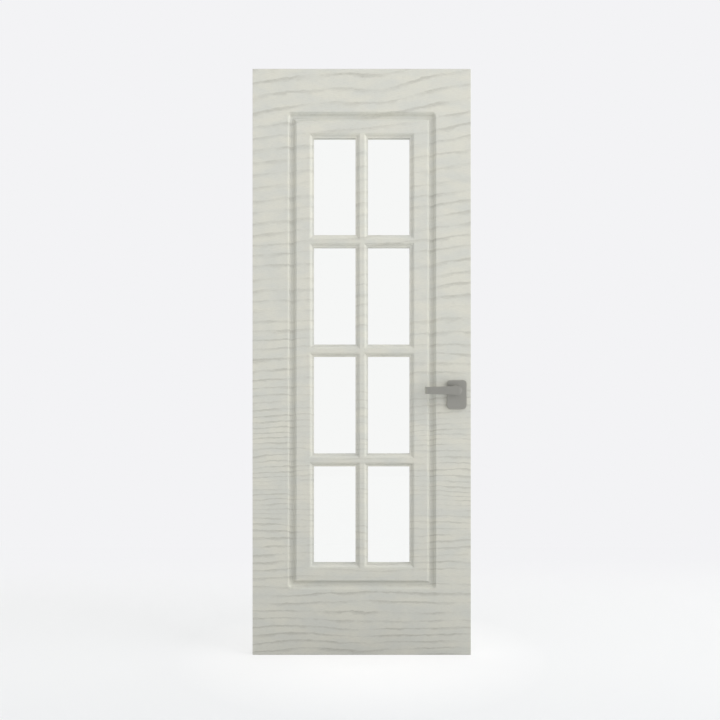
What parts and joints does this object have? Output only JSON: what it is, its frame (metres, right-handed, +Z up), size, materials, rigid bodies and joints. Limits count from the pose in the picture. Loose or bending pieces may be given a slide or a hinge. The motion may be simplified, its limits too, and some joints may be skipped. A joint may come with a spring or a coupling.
{
  "type": "french interior door",
  "caption": "Glazed interior door leaf in pale wood grain with a moulded groove ring, glazing bars and a lever handle set.",
  "frame": {"origin": "middle of the hinge edge, at half the leaf's height and half its thickness", "axes": "+X across the leaf from the hinge edge to the lock edge, +Y from the front face to the back face, +Z up along the leaf's height"},
  "size_m": [0.76, 0.156, 2.04],
  "materials": {
    "leaf_finish": "pale painted wood grain",
    "pane_glass": "clear",
    "lever_metal": "satin nickel",
    "latch_steel": "brushed"
  },
  "bodies": {
    "leaf": {"hinge_stile": "leaf_finish", "lock_stile": "leaf_finish", "top_rail": "leaf_finish", "bottom_rail": "leaf_finish", "sash_stile_hinge_side": "leaf_finish", "sash_stile_lock_side": "leaf_finish", "sash_rail_top": "leaf_finish", "sash_rail_bottom": "leaf_finish", "upright_glazing_bar": "leaf_finish", "cross_bar_low": "leaf_finish", "cross_bar_middle": "leaf_finish", "cross_bar_high": "leaf_finish", "bead_left_1": "leaf_finish", "bead_left_2": "leaf_finish", "bead_left_3": "leaf_finish", "bead_left_4": "leaf_finish", "bead_right_1": "leaf_finish", "bead_right_2": "leaf_finish", "bead_right_3": "leaf_finish", "bead_right_4": "leaf_finish", "glass_left_1": "pane_glass", "glass_left_2": "pane_glass", "glass_left_3": "pane_glass", "glass_left_4": "pane_glass", "glass_right_1": "pane_glass", "glass_right_2": "pane_glass", "glass_right_3": "pane_glass", "glass_right_4": "pane_glass", "lever_plate_front": "lever_metal", "lever_plate_back": "lever_metal", "latch_forend": "latch_steel", "latch_bolt": "latch_steel", "latch_case": "latch_steel"},
    "lever_set": {"lever_front": "lever_metal", "lever_back": "lever_metal", "spindle": "latch_steel"}
  },
  "joints": [
    {"name": "lever_turn", "type": "hinge", "parent": "leaf", "child": "lever_set", "pos_m": [0.71, 0, -0.098], "axis": [0, -1, 0], "range_deg": [0, 45], "stiffness_Nm_per_rad": 1.5, "springref_deg": -34.38}
  ]
}
